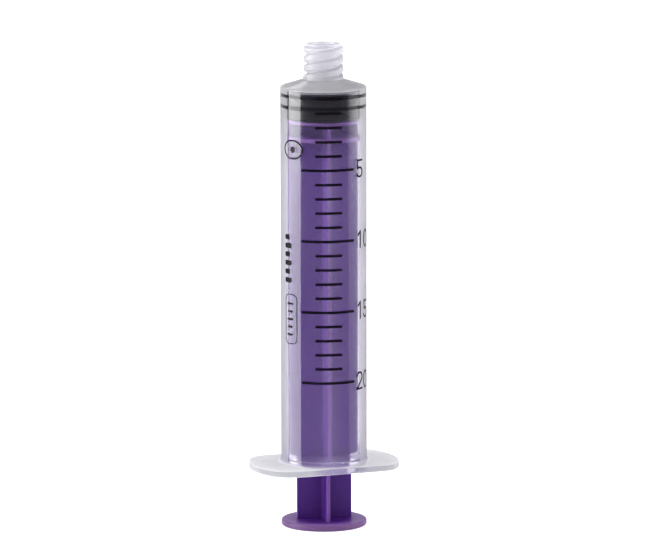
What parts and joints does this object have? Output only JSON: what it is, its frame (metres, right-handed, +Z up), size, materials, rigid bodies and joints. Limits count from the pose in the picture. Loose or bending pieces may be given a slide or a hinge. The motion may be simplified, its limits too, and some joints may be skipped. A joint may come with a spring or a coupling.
{
  "type": "oral syringe",
  "caption": "Oral (enteral) syringe: translucent graduated barrel with finger flange and threaded tip, rubber piston, and a cross-ribbed plunger rod with a thumb disc.",
  "frame": {"origin": "centre of the thumb disc's outer face, on the syringe's axis, with the plunger pushed home", "axes": "+Z up the axis from the thumb disc to the tip, +X along the long axis of the finger flange"},
  "size_m": [0.037, 0.0236, 0.1193],
  "materials": {
    "natural_polypropylene": "natural, translucent, smooth",
    "purple_polypropylene": "dyed, slightly translucent, satin",
    "black_rubber": "lubricated, satin",
    "black_ink": "screen-printed"
  },
  "bodies": {
    "rod": {"plunger_rod": "purple_polypropylene"},
    "seal": {"piston_seal": "black_rubber"},
    "barrel": {"barrel": "natural_polypropylene", "scale_lines": "black_ink", "scale_numerals": "black_ink", "ring_mark": "black_ink", "print_panel": "black_ink"}
  },
  "joints": [
    {"name": "plunger_turn", "type": "hinge", "parent": "rod", "child": "seal", "pos_m": [0, 0, 0.1], "axis": [0, 0, 1], "continuous": true},
    {"name": "barrel_slide", "type": "slide", "parent": "seal", "child": "barrel", "axis": [0, 0, 1], "range_m": [0, 0.0783]}
  ]
}
